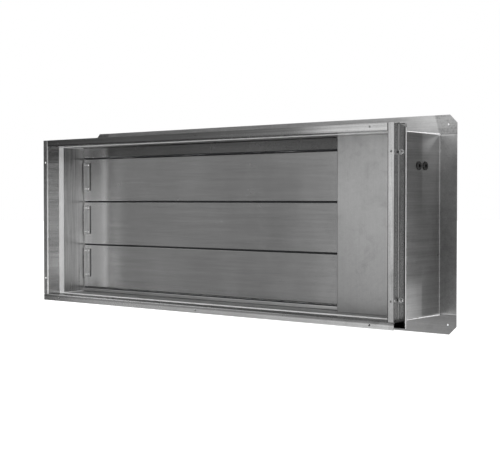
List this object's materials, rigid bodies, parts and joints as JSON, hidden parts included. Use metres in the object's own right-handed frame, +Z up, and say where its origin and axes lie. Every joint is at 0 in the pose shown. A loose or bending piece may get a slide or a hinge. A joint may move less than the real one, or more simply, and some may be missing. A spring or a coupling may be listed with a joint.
{
  "type": "fire damper",
  "caption": "Rectangular fire damper: level insulated blades turn together in a folded sheet casing with front frame, rear mounting flange and closed drive compartment.",
  "frame": {"origin": "centre of the four wall fixing holes, on the rear face of the mounting flange", "axes": "+X along the blades towards the drive compartment, +Y back into the wall, +Z up"},
  "size_m": [1.1706, 0.217, 0.489],
  "materials": {
    "casing_sheet": "hot-dip galvanised, dull spangle",
    "frame_sheet": "hot-dip galvanised, dull spangle",
    "cover_sheet": "smooth galvanised",
    "blade_sheet": "smooth galvanised",
    "bracket_sheet": "galvanised",
    "shaft_steel": "bright drawn, zinc plated",
    "fastener_zinc": "zinc plated",
    "bush_brass": "turned",
    "core_board": "calcium silicate board",
    "edge_seal": "swelling graphite strip",
    "joint_strip": "pale sealing strip",
    "grommet_rubber": "moulded rubber",
    "actuator_base_plastic": "moulded",
    "actuator_cover_plastic": "moulded",
    "sensor_plastic": "moulded",
    "button_plastic": "moulded",
    "probe_brass": "turned"
  },
  "bodies": {
    "casing": {"casing_top_panel": "casing_sheet", "casing_bottom_panel": "casing_sheet", "casing_left_panel": "casing_sheet", "casing_right_panel": "casing_sheet", "front_frame_top": "frame_sheet", "front_frame_bottom": "frame_sheet", "front_frame_left": "frame_sheet", "front_frame_right": "frame_sheet", "joint_seal_strips": "joint_strip", "frame_bolts": "fastener_zinc", "frame_nuts": "fastener_zinc", "top_blade_stop": "blade_sheet", "bottom_blade_stop": "blade_sheet", "stop_rivets": "fastener_zinc", "compartment_partition": "cover_sheet", "compartment_front_cover": "cover_sheet", "compartment_rear_cover": "cover_sheet", "cover_angles": "bracket_sheet", "cover_screws": "fastener_zinc", "cable_grommets": "grommet_rubber", "blade_bushes": "bush_brass", "plate_spacers": "fastener_zinc", "actuator_plate": "bracket_sheet", "actuator_base": "actuator_base_plastic", "actuator_cover": "actuator_cover_plastic", "actuator_cable_glands": "actuator_base_plastic", "trip_sensor_housing": "sensor_plastic", "trip_sensor_probe": "probe_brass", "compartment_screws": "fastener_zinc"},
    "lower_blade": {"lower_blade_front_skin": "blade_sheet", "lower_blade_rear_skin": "blade_sheet", "lower_blade_core": "core_board", "lower_blade_edge_seals": "edge_seal", "lower_blade_pivot_clip": "bracket_sheet", "lower_blade_rivets": "fastener_zinc", "lower_blade_shaft": "shaft_steel", "lower_blade_lever": "bracket_sheet", "lower_blade_lever_pin": "fastener_zinc"},
    "middle_blade": {"middle_blade_front_skin": "blade_sheet", "middle_blade_rear_skin": "blade_sheet", "middle_blade_core": "core_board", "middle_blade_edge_seals": "edge_seal", "middle_blade_pivot_clip": "bracket_sheet", "middle_blade_rivets": "fastener_zinc", "middle_blade_shaft": "shaft_steel", "middle_blade_lever": "bracket_sheet", "middle_blade_lever_pin": "fastener_zinc", "actuator_output_hub": "shaft_steel"},
    "upper_blade": {"upper_blade_front_skin": "blade_sheet", "upper_blade_rear_skin": "blade_sheet", "upper_blade_core": "core_board", "upper_blade_edge_seals": "edge_seal", "upper_blade_pivot_clip": "bracket_sheet", "upper_blade_rivets": "fastener_zinc", "upper_blade_shaft": "shaft_steel", "upper_blade_lever": "bracket_sheet", "upper_blade_lever_pin": "fastener_zinc"},
    "link": {"link_bar": "bracket_sheet"},
    "winding_socket": {"actuator_winding_socket": "shaft_steel"},
    "test_button": {"trip_sensor_button": "button_plastic"}
  },
  "joints": [
    {"name": "middle_blade_hinge", "type": "hinge", "parent": "casing", "child": "middle_blade", "pos_m": [0, -0.075, 0], "axis": [1, 0, 0], "range_deg": [0, 90], "stiffness_Nm_per_rad": 1.2, "springref_deg": -34.38},
    {"name": "lower_blade_hinge", "type": "hinge", "parent": "casing", "child": "lower_blade", "pos_m": [0, -0.075, -0.11933], "axis": [1, 0, 0], "range_deg": [0, 90]},
    {"name": "upper_blade_hinge", "type": "hinge", "parent": "casing", "child": "upper_blade", "pos_m": [0, -0.075, 0.11933], "axis": [1, 0, 0], "range_deg": [0, 90]},
    {"name": "link_pivot", "type": "hinge", "parent": "middle_blade", "child": "link", "pos_m": [0.35475, -0.05379, -0.02121], "axis": [1, 0, 0], "range_deg": [-90, 0]},
    {"name": "winding_socket_spin", "type": "hinge", "parent": "casing", "child": "winding_socket", "pos_m": [0.42875, -0.075, 0.072], "axis": [1, 0, 0], "continuous": true},
    {"name": "test_button_push", "type": "slide", "parent": "casing", "child": "test_button", "axis": [1, 0, 0], "range_m": [-0.002, 0], "stiffness_N_per_m": 500, "springref_m": 0.001}
  ],
  "couplings": [
    {"joint": "lower_blade_hinge", "follows": "middle_blade_hinge", "ratio": 1},
    {"joint": "upper_blade_hinge", "follows": "middle_blade_hinge", "ratio": 1},
    {"joint": "link_pivot", "follows": "middle_blade_hinge", "ratio": -1}
  ]
}
